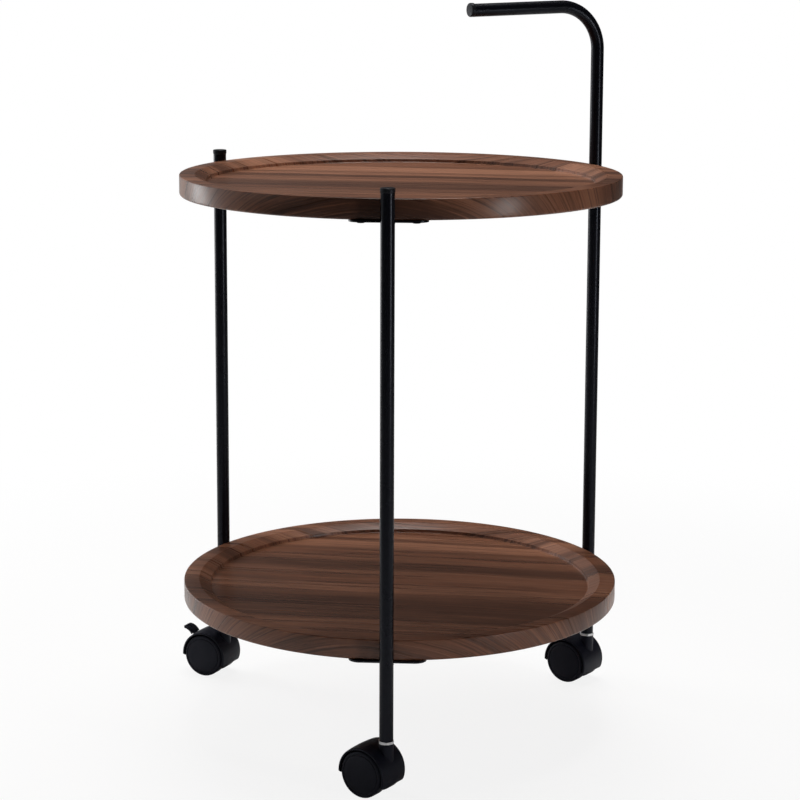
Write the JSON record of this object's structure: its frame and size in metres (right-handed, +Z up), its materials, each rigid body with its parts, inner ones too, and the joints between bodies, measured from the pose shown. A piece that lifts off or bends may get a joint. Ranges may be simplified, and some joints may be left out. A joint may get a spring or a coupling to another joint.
{
  "type": "rolling side table",
  "caption": "Round side table on casters: a walnut tray over a second tray, held at their edges by black tube legs, one of which bends over the top as a handle.",
  "frame": {"origin": "middle of the table's footprint on the floor: the bounding box's bottom centre, casters and handle leg included", "axes": "+Z up, +X to the table's right and -Y to its front, seen with the front leg nearest; the handle leg stands at the right and back"},
  "size_m": [0.4148, 0.4243, 0.664],
  "materials": {
    "walnut_board": "satin",
    "black_powder_coat": "satin",
    "black_cap_plastic": "matte",
    "black_screw_steel": "satin",
    "zinc_steel": "satin",
    "black_nylon": "satin"
  },
  "bodies": {
    "table": {"upper_tray": "walnut_board", "lower_tray": "walnut_board", "front_leg": "black_powder_coat", "left_leg": "black_powder_coat", "handle_leg": "black_powder_coat", "front_leg_cap": "black_cap_plastic", "left_leg_cap": "black_cap_plastic", "handle_end_cap": "black_cap_plastic", "upper_front_plate": "black_powder_coat", "upper_left_plate": "black_powder_coat", "upper_right_plate": "black_powder_coat", "lower_front_plate": "black_powder_coat", "lower_left_plate": "black_powder_coat", "lower_right_plate": "black_powder_coat", "upper_tray_screws": "black_screw_steel", "lower_tray_screws": "black_screw_steel", "front_leg_plug": "zinc_steel", "front_caster_stem": "zinc_steel", "front_snap_ring": "zinc_steel", "left_leg_plug": "zinc_steel", "left_caster_stem": "zinc_steel", "left_snap_ring": "zinc_steel", "right_leg_plug": "zinc_steel", "right_caster_stem": "zinc_steel", "right_snap_ring": "zinc_steel"},
    "front_caster": {"front_caster_hood": "black_nylon", "front_caster_axle": "zinc_steel"},
    "front_right_wheel": {"front_caster_right_wheel": "black_nylon"},
    "front_left_wheel": {"front_caster_left_wheel": "black_nylon"},
    "left_caster": {"left_caster_hood": "black_nylon", "left_caster_axle": "zinc_steel", "brake_pivot_pin": "zinc_steel"},
    "left_right_wheel": {"left_caster_right_wheel": "black_nylon"},
    "left_left_wheel": {"left_caster_left_wheel": "black_nylon"},
    "right_caster": {"right_caster_hood": "black_nylon", "right_caster_axle": "zinc_steel"},
    "right_right_wheel": {"right_caster_right_wheel": "black_nylon"},
    "right_left_wheel": {"right_caster_left_wheel": "black_nylon"},
    "brake": {"brake_lever": "black_nylon", "brake_bar": "zinc_steel"}
  },
  "joints": [
    {"name": "front_caster_swivel", "type": "hinge", "parent": "table", "child": "front_caster", "pos_m": [-0.0037, -0.19382, 0.0374], "axis": [0, 0, 1], "continuous": true},
    {"name": "front_right_wheel_spin", "type": "hinge", "parent": "front_caster", "child": "front_right_wheel", "pos_m": [-0.01606, -0.18532, 0.0205], "axis": [-0.5664, -0.8241, 0], "continuous": true},
    {"name": "front_left_wheel_spin", "type": "hinge", "parent": "front_caster", "child": "front_left_wheel", "pos_m": [-0.01606, -0.18532, 0.0205], "axis": [-0.5664, -0.8241, 0], "continuous": true},
    {"name": "left_caster_swivel", "type": "hinge", "parent": "table", "child": "left_caster", "pos_m": [-0.16592, 0.12456, 0.0374], "axis": [0, 0, 1], "continuous": true},
    {"name": "left_right_wheel_spin", "type": "hinge", "parent": "left_caster", "child": "left_right_wheel", "pos_m": [-0.1794, 0.13114, 0.0205], "axis": [-0.4384, -0.8988, 0], "continuous": true},
    {"name": "left_left_wheel_spin", "type": "hinge", "parent": "left_caster", "child": "left_left_wheel", "pos_m": [-0.1794, 0.13114, 0.0205], "axis": [-0.4384, -0.8988, 0], "continuous": true},
    {"name": "right_caster_swivel", "type": "hinge", "parent": "table", "child": "right_caster", "pos_m": [0.19092, 0.10586, 0.0374], "axis": [0, 0, 1], "continuous": true},
    {"name": "right_right_wheel_spin", "type": "hinge", "parent": "right_caster", "child": "right_right_wheel", "pos_m": [0.17894, 0.11489, 0.0205], "axis": [-0.6018, -0.7986, 0], "continuous": true},
    {"name": "right_left_wheel_spin", "type": "hinge", "parent": "right_caster", "child": "right_left_wheel", "pos_m": [0.17894, 0.11489, 0.0205], "axis": [-0.6018, -0.7986, 0], "continuous": true},
    {"name": "brake_lever_hinge", "type": "hinge", "parent": "left_caster", "child": "brake", "pos_m": [-0.19225, 0.1374, 0.0333], "axis": [-0.4384, -0.8988, 0], "range_deg": [0, 22]}
  ]
}
